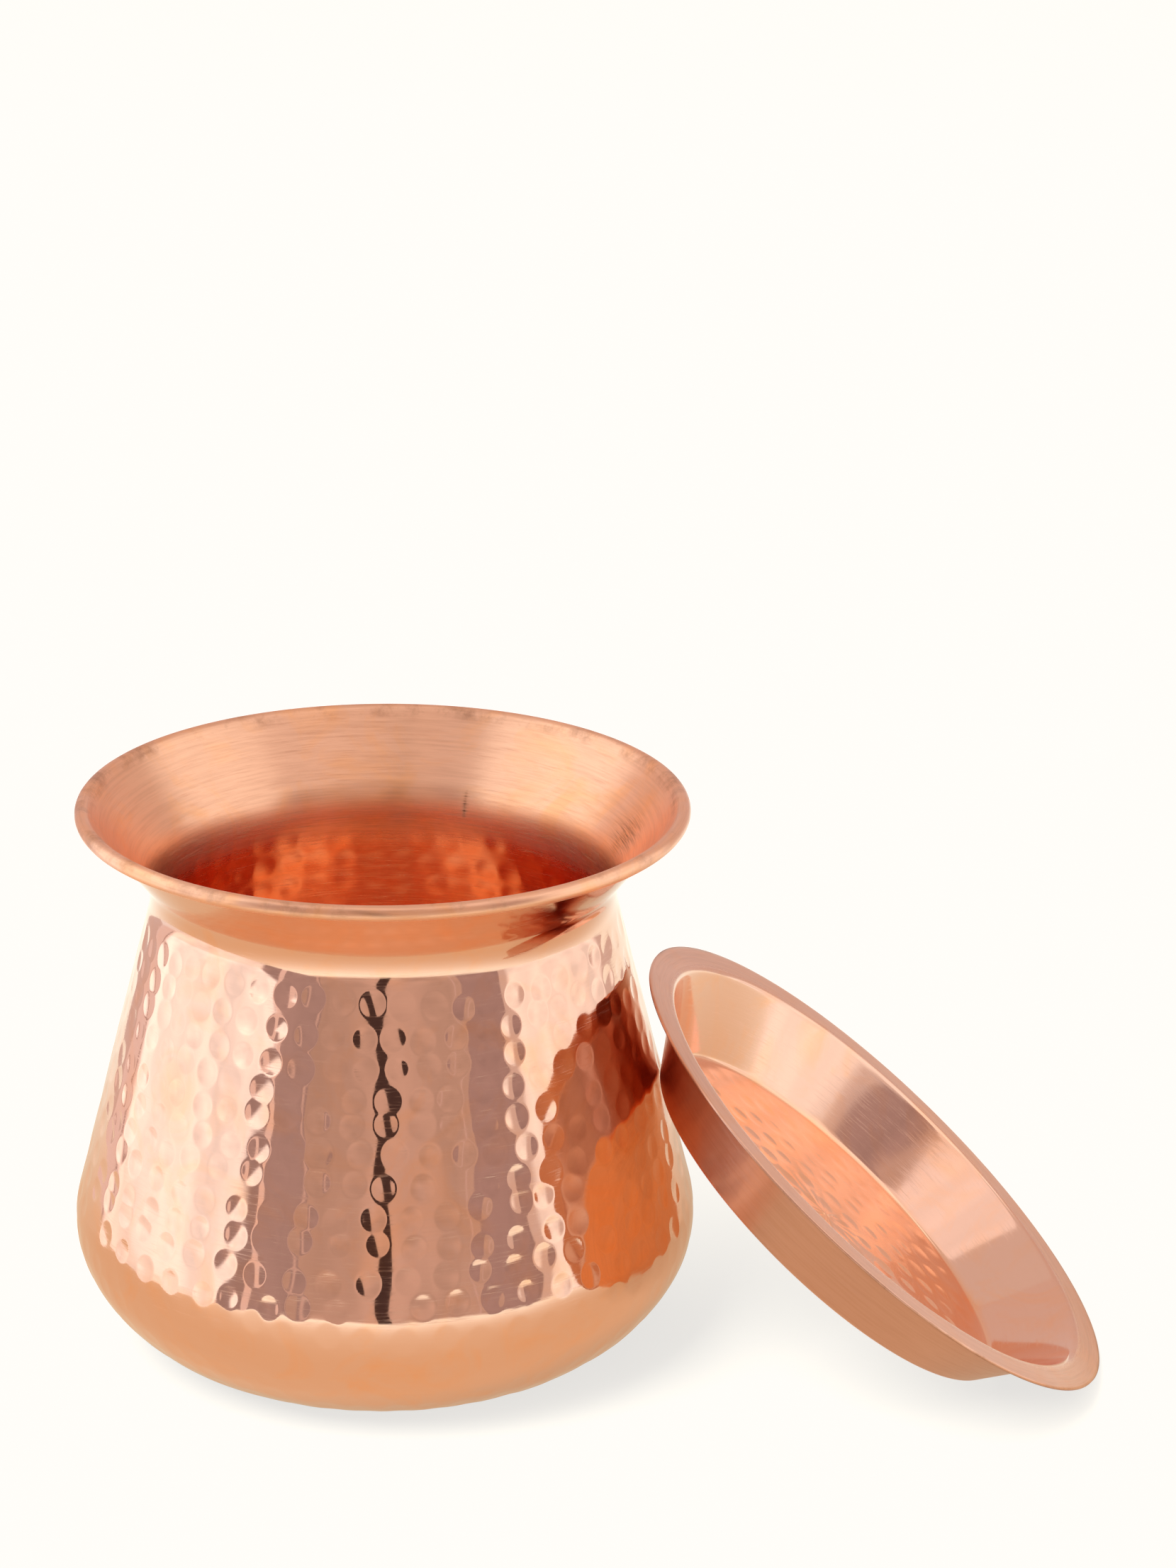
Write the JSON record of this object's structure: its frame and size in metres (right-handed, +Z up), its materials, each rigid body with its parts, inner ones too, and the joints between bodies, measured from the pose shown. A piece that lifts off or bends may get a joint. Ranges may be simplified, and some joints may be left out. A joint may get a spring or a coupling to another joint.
{
  "type": "lidded cooking pot",
  "caption": "Round hammered copper pot with a flared mouth, rolled lip, narrow neck and rounded belly, with a shallow sunken lid, flat at its edge, leaning against it.",
  "frame": {"origin": "the middle of the pot's flat sole, on the surface it stands on", "axes": "+Z up along the pot's axis; +X from the pot towards the leaning lid; -Y is the side it is usually seen from"},
  "size_m": [0.3081, 0.1958, 0.1693],
  "materials": {
    "pot_copper": "hammered and mirror-polished copper sheet",
    "wire_copper": "drawn copper wire, hidden in the rolled lip",
    "lid_copper": "spun, polished copper sheet with a hammered sole"
  },
  "bodies": {
    "pot": {"pot_shell": "pot_copper", "rim_wire": "wire_copper"},
    "lid": {"lid": "lid_copper"}
  },
  "joints": [
    {"name": "lid_lift", "type": "slide", "parent": "pot", "child": "lid", "axis": [0.6521, 0, 0.7581], "range_m": [0, 0.15]}
  ]
}
